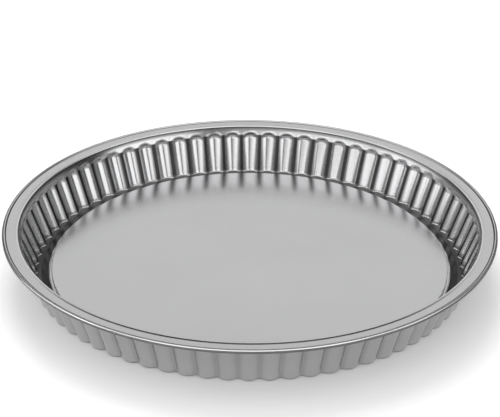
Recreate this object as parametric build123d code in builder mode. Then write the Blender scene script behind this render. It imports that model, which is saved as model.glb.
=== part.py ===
from build123d import *

import os
from math import atan, cos, radians, sin, tan

# A loose-base tart pan: a fluted ring with a wide ledge inside its foot, and a flat disc that
# lies on the ledge. Millimetres, +Z up. The origin is the centre of the circle that the pan
# stands on, so the surface below it is Z = 0. The middle of a flute faces -Y.

# Driving dimensions
RIM_DIAMETER = 300.0            # over the rolled edge
FLANGE_HEIGHT = 30.0            # top of the flat flange
SHEET = 0.6                     # thickness of the pressed sheet of the ring
WALL_FOOT_RADIUS = 129.2        # inside of the wall, carried down to Z = 0
WALL_TOP_RADIUS = 140.2         # inside of the wall, carried up to the flange
FLUTE_COUNT = 70
FLUTE_DEPTH = 2.3               # how far each flute stands out from the plain wall
FLUTE_SHARE_OUTSIDE = 0.90      # width of a flute over the flute spacing
FLUTE_SHARE_INSIDE = 0.82
FLUTE_FULL_TOP = 21.5           # above this height the flutes run out
FLUTE_END = 26.0                # and here they are gone

# Rolled edge of the flange
CURL_RADIUS = 1.2
CURL_CENTRE_HEIGHT = FLANGE_HEIGHT - SHEET
FLANGE_BEND = 1.0               # rounding between the wall and the lip
LIP_RISE = 0.18                 # fine raised lip along the inner edge of the flange
LIP_CREST_RADIUS = 141.2        # outer edge of the lip's flat crest
LIP_FOOT_RADIUS = 142.5         # where the lip has run out into the flange

# Ledge, the slope down to the wall's foot, and the push-out hole
LEDGE_HEIGHT = 2.2              # top of the ledge
LEDGE_RADIUS = 122.2            # outer edge of the flat ledge
SLOPE_FOOT_RADIUS = 127.2       # where the slope meets the flat strip under the wall's foot
PUSH_HOLE_RADIUS = 79.6
HOLE_BAND_WIDTH = 4.4           # raised flat band of the hole's folded edge
HOLE_BAND_RISE = 0.5
HOLE_BAND_THICKNESS = 2 * SHEET
HOLE_EDGE_ROUNDING = 0.54

# Loose base disc
DISC_RADIUS = 121.4
DISC_SHEET = 0.8
DISC_HEM_WIDTH = 6.0
DISC_HEM_GAP = 0.2              # between the two layers of the folded edge
DISC_EDGE_ROUNDING = 0.72

# Worked out from the above
RIM_RADIUS = RIM_DIAMETER / 2
CURL_CENTRE_RADIUS = RIM_RADIUS - CURL_RADIUS
WALL_SLOPE = (WALL_TOP_RADIUS - WALL_FOOT_RADIUS) / FLANGE_HEIGHT
WALL_SKIN = SHEET / cos(atan(WALL_SLOPE))       # sheet thickness measured level
LEDGE_SLOPE = atan((LEDGE_HEIGHT - SHEET) / (SLOPE_FOOT_RADIUS - LEDGE_RADIUS))
FOLD_SHIFT = SHEET * tan(LEDGE_SLOPE / 2)       # the slope's folds lie this much further in below
FLAT_OVERLAP = 0.5                              # flat sheet shared by the wall's foot and the slope
DISC_HEM_THICKNESS = 2 * DISC_SHEET + DISC_HEM_GAP
LIP_HEIGHT = FLANGE_HEIGHT + LIP_RISE
LIP_UNDERSIDE = LIP_HEIGHT - SHEET


def wall_inside(height):
    """Radius of the plain wall's inner face at a height."""
    return WALL_FOOT_RADIUS + WALL_SLOPE * height


def on_circle(radius, angle):
    """Point at an angle in degrees on a level circle about the Z axis."""
    return (radius * cos(radians(angle)), radius * sin(radians(angle)))


def flute_outline(radius, depth, share):
    """Closed outline of the wall at one level: flutes with plain strips between them."""
    spacing = 360 / FLUTE_COUNT
    half_flute = spacing * share / 2
    with BuildLine() as outline:
        for index in range(FLUTE_COUNT):
            middle = (index + 0.5) * spacing
            start = on_circle(radius, middle - half_flute)
            crown = on_circle(radius + depth, middle)
            end = on_circle(radius, middle + half_flute)
            plain = on_circle(radius, middle + spacing / 2)
            next_start = on_circle(radius, middle + spacing - half_flute)
            ThreePointArc(start, crown, end)
            ThreePointArc(end, plain, next_start)
    return outline.line


def wall_section(height, skin, depth, share):
    """Sketch of everything inside the wall's face at one level."""
    with BuildSketch(Plane.XY.offset(height)) as section:
        add(flute_outline(wall_inside(height) + skin, depth, share))
        make_face()
    return section.sketch


def wall_body(foot_height, skin, share):
    """Solid bounded by one face of the fluted wall, from the foot to the end of the flutes."""
    levels = [(foot_height, FLUTE_DEPTH), (FLUTE_FULL_TOP, FLUTE_DEPTH), (FLUTE_END, 0.0)]
    sections = [wall_section(height, skin, depth, share) for height, depth in levels]
    return loft(sections, ruled=True, mode=Mode.PRIVATE)


# The ring ---------------------------------------------------------------------------------

with BuildPart() as ring:
    # Fluted wall standing on a flat sheet
    add(wall_body(0.0, WALL_SKIN, FLUTE_SHARE_OUTSIDE))
    add(wall_body(SHEET, 0.0, FLUTE_SHARE_INSIDE), mode=Mode.SUBTRACT)

    # The flat sheet ends at the foot of the ledge's slope
    Cylinder(SLOPE_FOOT_RADIUS, FLANGE_HEIGHT, mode=Mode.SUBTRACT)

    # Slope up from the wall's foot, flat ledge and the raised band round the hole
    band_radius = PUSH_HOLE_RADIUS + HOLE_BAND_WIDTH
    band_top = LEDGE_HEIGHT + HOLE_BAND_RISE
    with BuildSketch(Plane.XZ) as ledge_section:
        with BuildLine():
            Polyline(
                (SLOPE_FOOT_RADIUS + FLAT_OVERLAP, 0),
                (SLOPE_FOOT_RADIUS + FLAT_OVERLAP, SHEET),
                (SLOPE_FOOT_RADIUS, SHEET),
                (LEDGE_RADIUS, LEDGE_HEIGHT),
                (band_radius + HOLE_BAND_RISE, LEDGE_HEIGHT),
                (band_radius, band_top),
                (PUSH_HOLE_RADIUS, band_top),
                (PUSH_HOLE_RADIUS, band_top - HOLE_BAND_THICKNESS),
                (band_radius, band_top - HOLE_BAND_THICKNESS),
                (band_radius, LEDGE_HEIGHT - SHEET),
                (LEDGE_RADIUS - FOLD_SHIFT, LEDGE_HEIGHT - SHEET),
                (SLOPE_FOOT_RADIUS - FOLD_SHIFT, 0),
                close=True,
            )
        make_face()
        hole_corners = ledge_section.vertices().group_by(Axis.X)[0]
        fillet(hole_corners, radius=HOLE_EDGE_ROUNDING)
    revolve(axis=Axis.Z)

    # Plain band above the flutes, the fine lip and the flat flange
    with BuildSketch(Plane.XZ) as rim_section:
        with BuildLine():
            Polyline(
                (wall_inside(FLUTE_END), FLUTE_END),
                (wall_inside(LIP_HEIGHT), LIP_HEIGHT),
                (LIP_CREST_RADIUS, LIP_HEIGHT),
                (LIP_FOOT_RADIUS, FLANGE_HEIGHT),
                (CURL_CENTRE_RADIUS, FLANGE_HEIGHT),
                (CURL_CENTRE_RADIUS, FLANGE_HEIGHT - SHEET),
                (LIP_FOOT_RADIUS, FLANGE_HEIGHT - SHEET),
                (LIP_CREST_RADIUS, LIP_UNDERSIDE),
                (wall_inside(LIP_UNDERSIDE) + WALL_SKIN, LIP_UNDERSIDE),
                (wall_inside(FLUTE_END) + WALL_SKIN, FLUTE_END),
                close=True,
            )
        make_face()
        lip_corner = rim_section.vertices().group_by(Axis.Y)[-1].sort_by(Axis.X)[0]
        fillet(lip_corner, radius=FLANGE_BEND)
    revolve(axis=Axis.Z)

    # Rolled edge
    with BuildSketch(Plane.XZ):
        with Locations((CURL_CENTRE_RADIUS, CURL_CENTRE_HEIGHT)):
            Circle(CURL_RADIUS)
    revolve(axis=Axis.Z)

ring.part.label = "ring"

# The loose base disc ------------------------------------------------------------------------

with BuildPart() as base_disc:
    disc_top = LEDGE_HEIGHT + DISC_HEM_THICKNESS
    hem_radius = DISC_RADIUS - DISC_HEM_WIDTH
    with BuildSketch(Plane.XZ) as disc_section:
        with BuildLine():
            Polyline(
                (0, disc_top - DISC_SHEET),
                (0, disc_top),
                (DISC_RADIUS, disc_top),
                (DISC_RADIUS, LEDGE_HEIGHT),
                (hem_radius, LEDGE_HEIGHT),
                (hem_radius, disc_top - DISC_SHEET),
                close=True,
            )
        make_face()
        edge_corners = disc_section.vertices().group_by(Axis.X)[-1]
        fillet(edge_corners, radius=DISC_EDGE_ROUNDING)
    revolve(axis=Axis.Z)

base_disc.part.label = "base_disc"

# Files ----------------------------------------------------------------------------------------

os.makedirs("parts", exist_ok=True)
for piece in (ring, base_disc):
    export_step(piece.part, f"parts/{piece.part.label}.step")
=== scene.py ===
"""Looks of a loose-base tart pan: a fluted ring pressed from sheet steel, and the disc in it.

The pan's lengths are in millimetres and become metres where a mesh is made. The floor, the
lights and the camera are in metres. A path is a list of corners (radius, height, rounding). It
becomes rows (radius, height, normal r, normal z), which are turned about the Z axis.
"""

import math

import bpy
import numpy as np
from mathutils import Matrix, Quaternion, Vector


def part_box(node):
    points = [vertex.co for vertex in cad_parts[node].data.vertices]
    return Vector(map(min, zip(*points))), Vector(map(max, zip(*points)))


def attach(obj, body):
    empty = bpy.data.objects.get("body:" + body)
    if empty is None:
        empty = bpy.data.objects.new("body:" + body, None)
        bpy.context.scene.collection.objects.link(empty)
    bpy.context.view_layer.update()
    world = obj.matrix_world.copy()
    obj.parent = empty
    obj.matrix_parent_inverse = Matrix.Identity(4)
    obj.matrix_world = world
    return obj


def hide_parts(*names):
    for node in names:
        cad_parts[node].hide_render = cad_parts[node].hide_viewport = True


MM = 0.001

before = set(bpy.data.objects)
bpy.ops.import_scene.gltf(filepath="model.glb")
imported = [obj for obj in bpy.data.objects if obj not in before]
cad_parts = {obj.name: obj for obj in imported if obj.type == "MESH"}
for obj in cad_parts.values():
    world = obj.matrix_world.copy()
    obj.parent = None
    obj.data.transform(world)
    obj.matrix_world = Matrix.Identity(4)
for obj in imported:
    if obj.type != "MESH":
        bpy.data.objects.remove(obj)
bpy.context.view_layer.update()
ring_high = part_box("ring")[1]
disc_low, disc_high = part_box("base_disc")

# ---------------------------------------------------------------------------------------------
# Sizes
# ---------------------------------------------------------------------------------------------

RIM_RADIUS = round(ring_high.x / MM, 1)
DISC_RADIUS = round(disc_high.x / MM, 1)
DISC_SEAT = round(disc_low.z / MM, 2)           # underside of the disc: top of the ledge
DISC_TOP = round(disc_high.z / MM, 2)

SHEET = 0.6                                     # thickness of the ring's sheet

# Flange, its rolled edge, and the fine raised lip along its inner edge
CURL_RADIUS = 1.2
CURL_CENTRE_RADIUS = RIM_RADIUS - CURL_RADIUS
CURL_CENTRE_HEIGHT = ring_high.z / MM - CURL_RADIUS
CURL_START, CURL_END = 150, -172                # degrees from outwards: its seam, over the top
CURL_STEPS = 26
CURL_INNER_RADIUS = CURL_CENTRE_RADIUS - CURL_RADIUS
SEAM_START_RADIUS = CURL_INNER_RADIUS - 0.25    # painted shade: a dark line between the flange and the curl
SEAM_END_RADIUS = CURL_INNER_RADIUS + 0.15
SEAM_DEPTH = 0.02
FLANGE_HEIGHT = CURL_CENTRE_HEIGHT + SHEET
FLANGE_END_RADIUS = CURL_INNER_RADIUS - 0.4
FLANGE_BEND = 1.0                               # rounding between the wall and the lip
LIP_HEIGHT = FLANGE_HEIGHT + 0.18
LIP_CREST_RADIUS = 141.2
LIP_CREST_ROUNDING = 0.6
LIP_FOOT_RADIUS = 142.5
LIP_FOOT_ROUNDING = 1.5

# Wall and flutes
WALL_FOOT_RADIUS = 129.2                        # inside of the wall, carried down to Z = 0
WALL_TOP_RADIUS = 140.2                         # inside of the wall, carried up to the flange
WALL_SLOPE = (WALL_TOP_RADIUS - WALL_FOOT_RADIUS) / FLANGE_HEIGHT
WALL_START = 2.4                                # height where the bend at the foot has ended
FLUTE_COUNT = 70
FLUTE_DEPTH = 2.3
FLUTE_SHARE = 0.82                              # width of a flute inside over the spacing
FLUTE_TOP = 25.8                                # height of the flutes' round upper ends
FLUTE_CAP = 3.8                                 # length of those ends
FLUTE_SOFTNESS = 0.22                           # rounding of the flutes' long edges
FLUTE_FOOT_RADIUS = 127.7                       # inner end of the flutes' flat floors
FOOT_ROUNDING = 1.0

# Ledge, the slope down to the wall's foot, and the folded edge of the push-out hole
LEDGE_HEIGHT = DISC_SEAT
LEDGE_RADIUS = 122.2
SLOPE_FOOT_RADIUS = 127.2
SLOPE_FALL = (LEDGE_HEIGHT - SHEET) / (SLOPE_FOOT_RADIUS - LEDGE_RADIUS)
SLOPE_ROUNDING = 1.6
HOLE_RADIUS = 79.6
HOLE_BAND_RADIUS = 84.0                         # outer edge of the raised flat band
HOLE_BAND_ROUNDING = 0.8
HOLE_BAND_RISE = 0.5
HOLE_HEM = SHEET                                # radius of the fold: two layers, folded flat
HEM_STEPS = 8
HEM_BEVEL = 0.1
BAND_FOOT_RADIUS = HOLE_BAND_RADIUS + 0.6       # foot of the band's sloping side
BAND_FOOT_ROUNDING = 0.2

# Loose base disc
DISC_SHEET = 0.8
DISC_ROUNDING = 0.4 * (DISC_TOP - DISC_SEAT)
DISC_HEM_RADIUS = DISC_RADIUS - 6.0             # inner edge of the folded hem underneath
DISC_HEM_ROUNDING = 0.25
DISC_HEM_ROOT = 0.1                             # rounding where the hem meets the plate
DISC_CAP_RADIUS = 6.0                           # flat faces close the plate's middle

# Rows up the wall, closer together at the flutes' upper ends, and columns round the axis
WIDE_ROWS = 6                                   # below the close rows, both ends counted
CLOSE_ROWS_START = FLUTE_TOP - 5.2
CLOSE_ROWS_END = FLUTE_TOP + 1.0
CLOSE_ROW_STEP = 0.52
PLAIN_BAND_START = CLOSE_ROWS_END + 0.4
COARSE_PER_FLUTE = 4
COLUMN_SHARES = (0, 0.25, 0.48, 0.68, 0.84, 0.95, 1.05, 1.14)   # of half a flute's width
FINE_PER_FLUTE = 2 * len(COLUMN_SHARES)

# ---------------------------------------------------------------------------------------------
# Painted highlights and painted shade, from 0 to 1, and where they are
# ---------------------------------------------------------------------------------------------

LIP_HIGHLIGHT = 0.6
LIP_HIGHLIGHT_NORMAL = 0.5                           # painted highlight where the lip faces up more than this
LIP_SHADE_NORMAL = 0.35                          # painted shade where it faces up less, near its top
LIP_SHADE_DEPTH = 1.0
CURL_HIGHLIGHT_NORMALS = (0.6, 0.9)                  # painted highlight on its shoulder, which faces up between these
CURL_SHADE = 0.85
CURL_FACE_NORMAL = -0.1                         # the curl's outer half faces outwards more; painted shade there, off the shoulder

BEND_GLINT = 0.9                                 # painted glint on the bend at the foot of each flute
BEND_GLINT_HEIGHTS = (0.75, 1.6)
HIGHLIGHT_CLEARS_SHADE = 0.1                                # no painted shade where the painted highlight is more
FLOOR_SHADE, FLOOR_SHADE_TOP = 0.92, 1.0          # painted shade on the flutes' flat floors
# painted shade on the bends up from the flutes' floors, and on the strips between the flutes
BEND_SHADE = 0.6
RIDGE_START, RIDGE_FULL = 0.30, 0.42            # from a flute's middle, in flute spacings
RIDGE_SHADE_TOP = FLUTE_TOP - 1.5

# painted shade under the flutes' floors, at the wall's foot
UNDER_FLOOR_SHADE, UNDER_FLOOR_TOP = 0.8, 0.9
OUTSIDE_SHADE = 0.2                              # painted shade outside the wall, at its foot
OUTSIDE_SHADE_RISE = 0.01                        # more for each millimetre up
OUTSIDE_RIDGE_SHADE = 0.12                       # more between the flutes, painted shade in the creases

BAND_HIGHLIGHT_NORMAL = 0.01                         # painted highlight where the hole's band turns down
BAND_SHADE_EDGE = 0.03                           # the painted shade at its foot starts sharply
BAND_SHADE_REACH = 0.3                           # and ends on the ledge
BAND_SHADE_FADE = 0.2
SLOPE_UNSHADED_RUN, SLOPE_SHADED_RUN = 0.6, 0.9      # from the ledge's edge down the slope; painted shade from the second on
PATH_GAP = 0.1                                  # between paths that meet at the flutes' foot
HEM_SHADE, HEM_SHADE_NORMAL = 0.9, 0.9            # painted shade where the hole's edge faces up less

DISC_EDGE_HIGHLIGHT, DISC_EDGE_NORMAL = 0.8, 0.3     # painted highlight where the disc's edge faces up more


# ---------------------------------------------------------------------------------------------
# Paths and turned surfaces
# ---------------------------------------------------------------------------------------------

RADIUS, HEIGHT, NORMAL_R, NORMAL_Z = range(4)   # columns of a path's rows


def unit(vector):
    """The vector at length one."""
    return vector / np.linalg.norm(vector)


def trace(corners, turn_step=14):
    """Rows along a path whose rounded corners are arcs, in steps of turn_step degrees or less.

    The normal is on the left of the direction of travel.
    """
    points = [np.array(corner[:2], float) for corner in corners]
    rows = []

    def put(point, heading):
        rows.append((point[0], point[1], -heading[1], heading[0]))

    put(points[0], unit(points[1] - points[0]))
    for before, here, after, corner in zip(points, points[1:], points[2:], corners[1:]):
        rounding = corner[2]
        inward, outward = unit(here - before), unit(after - here)
        turn = math.atan2(inward[0] * outward[1] - inward[1] * outward[0], inward @ outward)
        reach = rounding * math.tan(abs(turn) / 2)
        steps = max(2, math.ceil(abs(math.degrees(turn)) / turn_step))
        side = math.copysign(1.0, turn)
        centre = here - inward * reach + side * rounding * np.array([-inward[1], inward[0]])
        for step in range(steps + 1):
            angle = turn * step / steps
            heading = np.array([
                inward[0] * math.cos(angle) - inward[1] * math.sin(angle),
                inward[0] * math.sin(angle) + inward[1] * math.cos(angle),
            ])
            put(centre - side * rounding * np.array([-heading[1], heading[0]]), heading)
    put(points[-1], unit(points[-1] - points[-2]))
    return np.array(rows)


def arc(centre, radius, start, end, steps):
    """Rows of an arc between two angles in degrees, with normals away from its centre."""
    angles = np.radians(np.linspace(start, end, steps + 1))
    normals = np.stack([np.cos(angles), np.sin(angles)], axis=1)
    return np.hstack([np.array(centre) + radius * normals, normals])


def below(rows):
    """The sheet's lower face under the given rows, in the opposite order."""
    radius, height, normal_r, normal_z = rows.T
    lower_radius = radius - SHEET * normal_r
    lower_height = height - SHEET * normal_z
    return np.stack([lower_radius, lower_height, -normal_r, -normal_z], axis=1)[::-1]


def flute_columns():
    """Angles of the fine columns, in flute spacings, closer together at a flute's edges."""
    shares = np.array(COLUMN_SHARES) * FLUTE_SHARE / 2
    one_flute = np.concatenate([[-0.5], -shares[:0:-1], shares])
    return (np.arange(FLUTE_COUNT)[:, None] + 0.5 + one_flute[None, :]).ravel()


FINE_COLUMNS = flute_columns()
COARSE_COLUMNS = FINE_COLUMNS[::FINE_PER_FLUTE // COARSE_PER_FLUTE]


class Surface:
    """Rows of points round the Z axis, joined into one closed mesh."""

    def __init__(self):
        self.points, self.normals, self.rows = [], [], []
        self.marks = {"painted_highlight": [], "painted_shade": []}

    def add_row(self, points, normals, painted_highlight=0.0, painted_shade=0.0):
        """Adds a row. The painted highlight brightens edges, and the painted shade darkens
        corners and lines.
        """
        start = sum(len(row) for row in self.points)
        self.points.append(points)
        self.normals.append(normals)
        self.marks["painted_highlight"].append(np.broadcast_to(painted_highlight, len(points)))
        self.marks["painted_shade"].append(np.broadcast_to(painted_shade, len(points)))
        self.rows.append(np.arange(start, start + len(points)))

    def turn(self, rows, painted_highlight=0.0, painted_shade=0.0):
        """Adds plain round rows. The painted highlight and the painted shade are one number, or
        one for each row.
        """
        angles = np.radians(COARSE_COLUMNS * 360 / FLUTE_COUNT)
        across, along, level = np.cos(angles), np.sin(angles), np.ones(len(angles))
        painted_highlights, painted_shades = np.broadcast_to(painted_highlight, len(rows)), np.broadcast_to(painted_shade, len(rows))
        for (radius, height, normal_r, normal_z), row_highlight, row_shade in zip(rows, painted_highlights, painted_shades):
            points = np.stack([radius * across, radius * along, height * level], axis=1)
            normals = np.stack([normal_r * across, normal_r * along, normal_z * level], axis=1)
            self.add_row(points, normals, row_highlight, row_shade)

    def faces(self, closed):
        """Quads between rows of equal length, and fans where the number of columns changes."""
        made = []
        pairs = list(zip(self.rows, self.rows[1:]))
        if closed:
            pairs.append((self.rows[-1], self.rows[0]))
        for low, high in pairs:
            if len(low) == len(high):
                quads = np.stack([low, high, np.roll(high, -1), np.roll(low, -1)], axis=1)
                made += quads.tolist()
                continue
            coarse, fine = sorted((low, high), key=len)
            many = len(fine) // len(coarse)
            for index in range(len(coarse)):
                between = [fine[(index * many + k) % len(fine)] for k in range(many + 1)]
                ends = coarse[index], coarse[(index + 1) % len(coarse)]
                fan = [int(corner) for corner in (ends[0], *between, ends[1])]
                made.append(fan if coarse is low else fan[::-1])
        return made

    def to_object(self, name, closed=True, extra_faces=()):
        """The mesh object, in metres, smooth with the exact normals of its surface."""
        mesh = bpy.data.meshes.new(name)
        points = np.concatenate(self.points) * MM
        normals = np.concatenate(self.normals)
        mesh.from_pydata(points.tolist(), [], self.faces(closed) + list(extra_faces))
        mesh.update()
        for mark, values in self.marks.items():
            attribute = mesh.attributes.new(mark, "FLOAT", "POINT")
            attribute.data.foreach_set("value", np.concatenate(values).astype(np.float32))
        mesh.polygons.foreach_set("use_smooth", [True] * len(mesh.polygons))
        mesh.normals_split_custom_set_from_vertices(normals.tolist())
        made = bpy.data.objects.new(name, mesh)
        bpy.context.scene.collection.objects.link(made)
        return made


# ---------------------------------------------------------------------------------------------
# The ring
# ---------------------------------------------------------------------------------------------

def wall_inside(height):
    """Radius of the plain wall's inner face at a height."""
    return WALL_FOOT_RADIUS + WALL_SLOPE * height


def on_slope(run):
    """Corner of a path on the slope outside the ledge, at a run from the ledge's edge."""
    return (LEDGE_RADIUS + run, LEDGE_HEIGHT - run * SLOPE_FALL, 0)


def wall_rows():
    """Rows of the plain wall, from the bend at its foot to above the flutes."""
    heights = np.concatenate([
        np.linspace(WALL_START, CLOSE_ROWS_START, WIDE_ROWS)[1:-1],
        np.arange(CLOSE_ROWS_START, CLOSE_ROWS_END, CLOSE_ROW_STEP),
    ])
    lean = math.hypot(1, WALL_SLOPE)
    normal_r = np.full(len(heights), -1 / lean)
    normal_z = np.full(len(heights), WALL_SLOPE / lean)
    return np.stack([wall_inside(heights), heights, normal_r, normal_z], axis=1)


def flute_shape(columns, heights):
    """How far the sheet stands out, and its slopes by column and by height, on a grid."""
    across = columns - np.floor(columns) - 0.5
    half = FLUTE_SHARE / 2
    above = np.maximum(0, heights - (FLUTE_TOP - FLUTE_CAP))[:, None]
    inside = 1 - (across / half)[None, :] ** 2 - (above / FLUTE_CAP) ** 2
    root = np.sqrt(inside ** 2 + FLUTE_SOFTNESS ** 2)
    out = FLUTE_DEPTH * (inside + root) / 2
    steepness = FLUTE_DEPTH * (1 + inside / root) / 2
    by_column = steepness * (-2 * across / half ** 2)[None, :]
    by_height = steepness * (-2 * above / FLUTE_CAP ** 2)
    return out, by_column, by_height


def fluted_rows(rows, foot_end):
    """Points and normals of the sheet's upper face where it is fluted.

    The flutes grow to their full depth between FLUTE_FOOT_RADIUS and the radius foot_end.
    """
    radius, height, normal_r, normal_z = rows.T
    heading_r, heading_z = normal_z, -normal_r
    out, by_column, by_height = flute_shape(FINE_COLUMNS, height)
    growing = foot_end - FLUTE_FOOT_RADIUS
    share = np.clip((radius - FLUTE_FOOT_RADIUS) / growing, 0, 1)[:, None]
    growth = np.where(share < 1, 1 / growing, 0.0)
    along_r = heading_r[:, None] * (1 + out * growth) + by_height * heading_z[:, None]
    along_z = np.broadcast_to(heading_z[:, None], out.shape)
    out, by_column = out * share, by_column * share
    distance = radius[:, None] + out
    by_angle = by_column * FLUTE_COUNT / (2 * math.pi)
    normal = np.stack([-along_z * distance, along_z * by_angle, along_r * distance], axis=2)
    normal /= np.linalg.norm(normal, axis=2, keepdims=True)
    angles = np.radians(FINE_COLUMNS * 360 / FLUTE_COUNT)
    outward = np.stack([np.cos(angles), np.sin(angles), 0 * angles], axis=1)[None]
    around = np.stack([-np.sin(angles), np.cos(angles), 0 * angles], axis=1)[None]
    up = np.array([0.0, 0.0, 1.0])
    points = distance[..., None] * outward + height[:, None, None] * up
    normals = normal[..., :1] * outward + normal[..., 1:2] * around + normal[..., 2:] * up
    return points, normals


def ridge_shares():
    """How far each fine column is on the strip between two flutes, from 0 to 1."""
    off_middle = np.abs(FINE_COLUMNS - np.floor(FINE_COLUMNS) - 0.5)
    return np.clip((off_middle - RIDGE_START) / (RIDGE_FULL - RIDGE_START), 0, 1)


def inside_marks(height, ridge):
    """Painted highlight and painted shade of a fluted row inside the ring."""
    highlight_start, highlight_end = BEND_GLINT_HEIGHTS
    painted_highlight = BEND_GLINT * (1 - ridge) * (highlight_start < height < highlight_end)
    if height < FLOOR_SHADE_TOP:
        painted_shade = FLOOR_SHADE
    elif height < WALL_START:
        painted_shade = BEND_SHADE
    elif height < RIDGE_SHADE_TOP:
        painted_shade = ridge
    else:
        painted_shade = 0.0
    return painted_highlight, painted_shade * (painted_highlight < HIGHLIGHT_CLEARS_SHADE)


def outside_painted_shade(height, ridge):
    """Painted shade of a fluted row outside the ring or under the flutes' floors."""
    if height < UNDER_FLOOR_TOP:
        return UNDER_FLOOR_SHADE
    return OUTSIDE_SHADE + OUTSIDE_SHADE_RISE * height + OUTSIDE_RIDGE_SHADE * ridge


def make_ring():
    """The pressed ring, from the hole's band over the wall and the rim, and back underneath.

    A path ends where a mark does, and the mark fades over the gap to the next path.
    """
    band_top = LEDGE_HEIGHT + HOLE_BAND_RISE
    half_rise = HOLE_BAND_RISE / 2
    band = trace([
        (HOLE_RADIUS + HOLE_HEM, band_top, 0),
        (HOLE_BAND_RADIUS, band_top, HOLE_BAND_ROUNDING),
        (BAND_FOOT_RADIUS - half_rise, LEDGE_HEIGHT + half_rise, 0),
    ])
    shade_rise = half_rise - BAND_SHADE_EDGE
    shade_end = BAND_FOOT_RADIUS + BAND_SHADE_REACH
    band_foot = trace([
        (BAND_FOOT_RADIUS - shade_rise, LEDGE_HEIGHT + shade_rise, 0),
        (BAND_FOOT_RADIUS, LEDGE_HEIGHT, BAND_FOOT_ROUNDING),
        (shade_end, LEDGE_HEIGHT, 0),
    ])
    ledge = trace([
        (shade_end + BAND_SHADE_FADE, LEDGE_HEIGHT, 0),
        (LEDGE_RADIUS, LEDGE_HEIGHT, SLOPE_ROUNDING),
        on_slope(SLOPE_UNSHADED_RUN),
    ], turn_step=6)
    groove = trace([
        on_slope(SLOPE_SHADED_RUN),
        (SLOPE_FOOT_RADIUS, SHEET, SLOPE_ROUNDING),
        (FLUTE_FOOT_RADIUS - PATH_GAP, SHEET, 0),
    ], turn_step=6)
    foot = trace([
        (FLUTE_FOOT_RADIUS, SHEET, 0),
        (wall_inside(SHEET), SHEET, FOOT_ROUNDING),
        (wall_inside(WALL_START), WALL_START, 0),
    ], turn_step=10)
    foot_end = foot[2, RADIUS]                  # one step into the bend
    rim = trace([
        (wall_inside(PLAIN_BAND_START), PLAIN_BAND_START, 0),
        (wall_inside(LIP_HEIGHT), LIP_HEIGHT, FLANGE_BEND),
        (LIP_CREST_RADIUS, LIP_HEIGHT, LIP_CREST_ROUNDING),
        (LIP_FOOT_RADIUS, FLANGE_HEIGHT, LIP_FOOT_ROUNDING),
        (FLANGE_END_RADIUS, FLANGE_HEIGHT, 0),
    ], turn_step=8)
    seam = np.array([
        (SEAM_START_RADIUS, FLANGE_HEIGHT, 0, 1),
        (SEAM_END_RADIUS, FLANGE_HEIGHT - SEAM_DEPTH, 0, 1),
    ])
    curl_centre = (CURL_CENTRE_RADIUS, CURL_CENTRE_HEIGHT)
    curl = arc(curl_centre, CURL_RADIUS, CURL_START, CURL_END, CURL_STEPS)
    curl_seam, curl = curl[:1], curl[1:]
    hem_bottom = band_top - 2 * HOLE_HEM
    hem_under = np.array([
        (HOLE_BAND_RADIUS - HEM_BEVEL, hem_bottom + HEM_BEVEL, 1, 0),
        (HOLE_BAND_RADIUS - 2 * HEM_BEVEL, hem_bottom, 0, -1),
        (HOLE_RADIUS + HOLE_HEM, hem_bottom, 0, -1),
    ])
    hem_centre = (HOLE_RADIUS + HOLE_HEM, band_top - HOLE_HEM)
    hem_edge = arc(hem_centre, HOLE_HEM, 270, 90, HEM_STEPS)[1:-1]

    lip_top = (rim[:, NORMAL_Z] > LIP_HIGHLIGHT_NORMAL) & (rim[:, RADIUS] < LIP_CREST_RADIUS)
    near_top = rim[:, HEIGHT] > FLANGE_HEIGHT - LIP_SHADE_DEPTH
    lip_side = (rim[:, NORMAL_Z] < LIP_SHADE_NORMAL) & near_top
    curl_face = curl[:, NORMAL_R] > CURL_FACE_NORMAL
    least, most = CURL_HIGHLIGHT_NORMALS
    shoulder = curl_face & (curl[:, NORMAL_Z] > least) & (curl[:, NORMAL_Z] < most)
    ridge = ridge_shares()
    upper_points, upper_normals = fluted_rows(np.concatenate([foot, wall_rows()]), foot_end)

    surface = Surface()
    # Painted highlight where the band turns down, painted shade at its foot
    surface.turn(band, painted_highlight=band[:, NORMAL_R] > BAND_HIGHLIGHT_NORMAL)
    surface.turn(band_foot, painted_shade=1.0)
    surface.turn(ledge)
    # Painted shade down the slope to the flutes' foot
    surface.turn(groove, painted_shade=1.0)
    # Painted glints at the flutes' feet, painted shade on their floors, bends and the strips
    # between them
    for points, normals in zip(upper_points, upper_normals):
        painted_highlight, painted_shade = inside_marks(points[0, 2], ridge)
        surface.add_row(points, normals, painted_highlight, painted_shade)
    # Painted highlight on the lip's top, painted shade on its side near the top
    surface.turn(rim, painted_highlight=LIP_HIGHLIGHT * lip_top, painted_shade=lip_side)
    # Painted shade in the seam and on the curl's outer half, painted highlight on its shoulder
    surface.turn(seam, painted_shade=1.0)
    surface.turn(curl_seam, painted_shade=1.0)
    surface.turn(curl, painted_highlight=shoulder, painted_shade=CURL_SHADE * (curl_face & ~shoulder))
    surface.turn(below(rim))
    # Painted shade outside the wall, under the flutes' floors and in the creases, darker upwards
    for points, normals in zip(upper_points[::-1], upper_normals[::-1]):
        lower = points - SHEET * normals
        surface.add_row(lower, -normals, painted_shade=outside_painted_shade(lower[0, 2], ridge))
    surface.turn(below(groove))
    surface.turn(below(ledge))
    surface.turn(below(band_foot))
    surface.turn(hem_under)
    # Painted shade where the hole's edge faces up less
    surface.turn(hem_edge, painted_shade=HEM_SHADE * (hem_edge[:, NORMAL_Z] < HEM_SHADE_NORMAL))
    return surface.to_object("fluted_ring")


# ---------------------------------------------------------------------------------------------
# The loose base disc
# ---------------------------------------------------------------------------------------------

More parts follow.
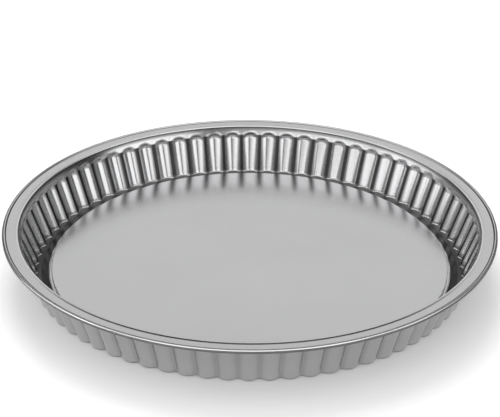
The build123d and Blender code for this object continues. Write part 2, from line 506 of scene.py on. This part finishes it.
def make_disc():
    """A flat plate whose edge is folded under."""
    plate_bottom = DISC_TOP - DISC_SHEET
    plate = trace([
        (DISC_CAP_RADIUS, DISC_TOP, 0),
        (DISC_RADIUS, DISC_TOP, DISC_ROUNDING),
        (DISC_RADIUS, DISC_SEAT, DISC_ROUNDING),
        (DISC_HEM_RADIUS, DISC_SEAT, DISC_HEM_ROUNDING),
        (DISC_HEM_RADIUS, plate_bottom, DISC_HEM_ROOT),
        (DISC_CAP_RADIUS, plate_bottom, 0),
    ])
    outermost = plate[:, RADIUS] > DISC_RADIUS - DISC_ROUNDING
    edge = outermost & (plate[:, NORMAL_Z] > DISC_EDGE_NORMAL)
    surface = Surface()
    # Painted highlight along the top of the disc's rounded edge
    surface.turn(plate, painted_highlight=DISC_EDGE_HIGHLIGHT * edge)
    top_cap, bottom_cap = surface.rows[0].tolist(), surface.rows[-1].tolist()[::-1]
    return surface.to_object("loose_base", closed=False, extra_faces=[top_cap, bottom_cap])


# ---------------------------------------------------------------------------------------------
# Materials
# ---------------------------------------------------------------------------------------------

CLOUD_SCALE = 14
GRAIN_SCALE, GRAIN_STRETCH = 900, (0.3, 1, 1)   # mill grain, drawn out along X
SPECKLE_SCALE = 2600
NOISE_RANGE = (0.3, 0.7)                        # nearly all of the noise lies in here

DARK_TINT, LIGHT_TINT = (0.97, 0.97, 0.985), (1.03, 1.03, 1.03)
# Colours of the painted highlights and of the painted shade
PAINTED_HIGHLIGHT_COLOUR = (0.97, 0.97, 0.97, 1)
PAINTED_SHADE_COLOUR = (0.035, 0.034, 0.033, 1)

CLOUD_ROUGHNESS = 0.015                         # more and less than the sheet's roughness
GRAIN_ROUGHNESS = 0.01
HIGHLIGHT_GLOSS = 0.06
SHADE_ROUGHNESS = 0.1
BUMP_STRENGTH, BUMP_DEPTH = 0.08, 0.0001
SPECKLE_SHARE = 0.6                             # height of the speckle over the grain's
LEAST_HIGHLIGHT, LEAST_SHADE = 0.8, 0.94              # share of a mark left in its weakest patches


def steel(name, tone, roughness):
    """Satin steel sheet: fine mill grain, cloudy gloss, painted highlights and painted shade."""
    material = bpy.data.materials.new(name)
    material.use_nodes = True
    nodes, links = material.node_tree.nodes, material.node_tree.links
    shader = nodes["Principled BSDF"]
    shader.inputs["Metallic"].default_value = 1.0
    place = nodes.new("ShaderNodeTexCoord").outputs["Object"]

    def feed(socket, value):
        """Links an output to the socket, or sets the socket to a value."""
        if isinstance(value, bpy.types.NodeSocket):
            links.new(value, socket)
        else:
            socket.default_value = value

    def noise(scale, stretch=(1, 1, 1), detail=3):
        mapping = nodes.new("ShaderNodeMapping")
        feed(mapping.inputs["Scale"], stretch)
        feed(mapping.inputs["Vector"], place)
        texture = nodes.new("ShaderNodeTexNoise")
        feed(texture.inputs["Scale"], scale)
        feed(texture.inputs["Detail"], detail)
        feed(texture.inputs["Vector"], mapping.outputs["Vector"])
        return texture.outputs["Fac"]

    def point_mark(mark):
        node = nodes.new("ShaderNodeAttribute")
        node.attribute_name = mark
        return node.outputs["Fac"]

    def spread(value, low, high):
        node = nodes.new("ShaderNodeMapRange")
        feed(node.inputs["From Min"], NOISE_RANGE[0])
        feed(node.inputs["From Max"], NOISE_RANGE[1])
        feed(node.inputs["To Min"], low)
        feed(node.inputs["To Max"], high)
        feed(node.inputs["Value"], value)
        return node.outputs["Result"]

    def combine(operation, first, second):
        node = nodes.new("ShaderNodeMath")
        node.operation = operation
        feed(node.inputs[0], first)
        feed(node.inputs[1], second)
        return node.outputs["Value"]

    def mixed(factor, first, second):
        node = nodes.new("ShaderNodeMix")
        node.data_type = "RGBA"
        feed(node.inputs["Factor"], factor)
        feed(node.inputs["A"], first)
        feed(node.inputs["B"], second)
        return node.outputs["Result"]

    clouds = noise(CLOUD_SCALE)
    grain = noise(GRAIN_SCALE, GRAIN_STRETCH, detail=2)
    speckle = noise(SPECKLE_SCALE, detail=1)
    painted_highlight, painted_shade = point_mark("painted_highlight"), point_mark("painted_shade")

    darker = (*(tone * tint for tint in DARK_TINT), 1)
    lighter = (*(tone * tint for tint in LIGHT_TINT), 1)
    colour = mixed(spread(clouds, 0.0, 1.0), darker, lighter)
    # Painted highlight and painted shade mixed into the colour, patchy with the clouds
    colour = mixed(combine("MULTIPLY", painted_highlight, spread(clouds, LEAST_HIGHLIGHT, 1.0)), colour, PAINTED_HIGHLIGHT_COLOUR)
    colour = mixed(combine("MULTIPLY", painted_shade, spread(clouds, LEAST_SHADE, 1.0)), colour, PAINTED_SHADE_COLOUR)
    feed(shader.inputs["Base Color"], colour)

    clouding = spread(clouds, roughness - CLOUD_ROUGHNESS, roughness + CLOUD_ROUGHNESS)
    gloss = combine("ADD", clouding, spread(grain, -GRAIN_ROUGHNESS, GRAIN_ROUGHNESS))
    gloss = combine("SUBTRACT", gloss, combine("MULTIPLY", painted_highlight, HIGHLIGHT_GLOSS))
    gloss = combine("ADD", gloss, combine("MULTIPLY", painted_shade, SHADE_ROUGHNESS))
    feed(shader.inputs["Roughness"], gloss)

    bump = nodes.new("ShaderNodeBump")
    feed(bump.inputs["Strength"], BUMP_STRENGTH)
    feed(bump.inputs["Distance"], BUMP_DEPTH)
    relief = combine("ADD", grain, combine("MULTIPLY", speckle, SPECKLE_SHARE))
    feed(bump.inputs["Height"], relief)
    feed(shader.inputs["Normal"], bump.outputs["Normal"])
    return material


# ---------------------------------------------------------------------------------------------
# Floor, lights and camera, in metres
# ---------------------------------------------------------------------------------------------

WHITE = (1, 1, 1, 1)

FLOOR_HALF = 1.5
FLOOR_COLOUR = (0.9, 0.9, 0.9, 1)
FLOOR_GLOW = 0.2
FLOOR_ROUGHNESS = 0.9
FLOOR_SPECULAR = 0.1

LAMP_DISTANCE = 2.0
UNREFLECTED_LAMP = "table_lamp"

# Name, azimuth from +Y towards +X and elevation in degrees, width, height, radiance
SOFTBOXES = [
    ("overhead", 180, 84, 3.0, 3.0, 1.05),
    ("table_lamp", 352, 46, 1.3, 1.3, 4.8),
    ("left_top", 285, 45, 1.7, 0.5, 1.3),
    ("right_top", 80, 45, 1.3, 0.5, 0.9),
    ("front_strip", 205, 10, 3.5, 0.5, 1.4),
    ("left_strip", 272, 10, 1.6, 0.5, 1.35),
    ("right_strip", 128, 11, 1.9, 0.5, 1.4),
    ("front_upper", 182, 32, 1.8, 0.6, 0.6),
    ("left_upper", 264, 28, 2.2, 0.6, 0.65),
    ("right_upper", 94, 28, 1.8, 0.6, 0.45),
    ("front_left_upper", 225, 33, 1.1, 0.6, 0.5),
    ("front_right_upper", 137, 33, 1.1, 0.6, 0.5),
    ("back_left_upper", 318, 30, 1.1, 0.6, 0.35),
    ("back_right_upper", 46, 30, 1.2, 0.6, 0.35),
    ("back_low", 0, 13, 1.1, 0.3, 0.9),
    ("back_panel", 0, 30, 1.7, 0.8, 0.68),
]

ROOM_STRENGTH = 0.01
BACKDROP_STRENGTH = 1.0

CAMERA_ELEVATION = math.radians(27.6)           # seen from the middle of the flange
CAMERA_PITCH = math.radians(27.17)
CAMERA_ROLL = math.radians(0.4)
CAMERA_DISTANCE = 7.1 * RIM_RADIUS * MM
CAMERA_LENS, CAMERA_SENSOR = 126.0, 36.0        # millimetres
CAMERA_REACH = 50


def make_floor():
    """A wide pale table under the pan, lit faintly from below like a photographer's table."""
    mesh = bpy.data.meshes.new("floor")
    corners = [(-1, -1), (1, -1), (1, 1), (-1, 1)]
    points = [(FLOOR_HALF * across, FLOOR_HALF * along, 0) for across, along in corners]
    mesh.from_pydata(points, [], [(0, 1, 2, 3)])
    floor = bpy.data.objects.new("floor", mesh)
    bpy.context.scene.collection.objects.link(floor)
    material = bpy.data.materials.new("pale_paper")
    material.use_nodes = True
    shader = material.node_tree.nodes["Principled BSDF"]
    shader.inputs["Base Color"].default_value = FLOOR_COLOUR
    shader.inputs["Emission Color"].default_value = WHITE
    shader.inputs["Emission Strength"].default_value = FLOOR_GLOW
    shader.inputs["Roughness"].default_value = FLOOR_ROUGHNESS
    shader.inputs["Specular IOR Level"].default_value = FLOOR_SPECULAR
    floor.data.materials.append(material)


def softbox(name, azimuth, elevation, width, height, radiance):
    """An area light of even radiance that faces the pan, unseen by the camera."""
    turn, rise = math.radians(azimuth), math.radians(elevation)
    level = math.cos(rise)
    away = Vector((math.sin(turn) * level, math.cos(turn) * level, math.sin(rise)))
    light = bpy.data.lights.new(name, "AREA")
    light.shape = "RECTANGLE"
    light.size = width
    light.size_y = height
    light.energy = radiance * math.pi * width * height
    lamp = bpy.data.objects.new(name, light)
    lamp.location = LAMP_DISTANCE * away
    lamp.rotation_mode = "QUATERNION"
    lamp.rotation_quaternion = (-away).to_track_quat("-Z", "Y")
    lamp.visible_camera = False
    bpy.context.scene.collection.objects.link(lamp)
    return lamp


def make_lights():
    """A wide softbox overhead, panels all round, and a lamp for the table.

    The steel shows what stands round it, so the panels at a slope of 28 to 33 degrees give the
    disc and the flange their tone, and the low strips give the flutes theirs. The table's lamp
    stands behind the pan, and the steel doesn't reflect it.
    """
    for panel in SOFTBOXES:
        lamp = softbox(*panel)
        lamp.visible_glossy = lamp.name != UNREFLECTED_LAMP


def make_room():
    """A dim room round the pan, and a white backdrop that only the camera sees."""
    world = bpy.data.worlds.new("room")
    bpy.context.scene.world = world
    world.use_nodes = True
    nodes, links = world.node_tree.nodes, world.node_tree.links
    room = nodes["Background"]
    room.inputs["Color"].default_value = WHITE
    room.inputs["Strength"].default_value = ROOM_STRENGTH
    backdrop = nodes.new("ShaderNodeBackground")
    backdrop.inputs["Color"].default_value = WHITE
    backdrop.inputs["Strength"].default_value = BACKDROP_STRENGTH
    path = nodes.new("ShaderNodeLightPath")
    mix = nodes.new("ShaderNodeMixShader")
    links.new(path.outputs["Is Camera Ray"], mix.inputs["Fac"])
    links.new(room.outputs["Background"], mix.inputs[1])
    links.new(backdrop.outputs["Background"], mix.inputs[2])
    links.new(mix.outputs["Shader"], nodes["World Output"].inputs["Surface"])


def make_camera():
    """A long lens 28 degrees above the rim, on the -Y side."""
    optics = bpy.data.cameras.new("camera")
    optics.sensor_width = CAMERA_SENSOR
    optics.lens = CAMERA_LENS
    optics.clip_end = CAMERA_REACH
    back = CAMERA_DISTANCE * math.cos(CAMERA_ELEVATION)
    rise = CAMERA_DISTANCE * math.sin(CAMERA_ELEVATION)
    look_down = Quaternion((1, 0, 0), math.pi / 2 - CAMERA_PITCH)
    camera = bpy.data.objects.new("camera", optics)
    camera.location = (0, -back, rise + FLANGE_HEIGHT * MM)
    camera.rotation_mode = "QUATERNION"
    camera.rotation_quaternion = look_down @ Quaternion((0, 0, 1), CAMERA_ROLL)
    bpy.context.scene.collection.objects.link(camera)
    bpy.context.scene.camera = camera


# ---------------------------------------------------------------------------------------------
# Scene
# ---------------------------------------------------------------------------------------------

ring = make_ring()
ring.data.materials.append(steel("ring_steel", tone=0.74, roughness=0.2))
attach(ring, "ring")
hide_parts("ring")

disc = make_disc()
disc.data.materials.append(steel("disc_steel", tone=0.76, roughness=0.2))
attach(disc, "disc")
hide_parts("base_disc")

make_floor()
make_lights()
make_room()
make_camera()
bpy.context.scene.view_settings.view_transform = "Standard"
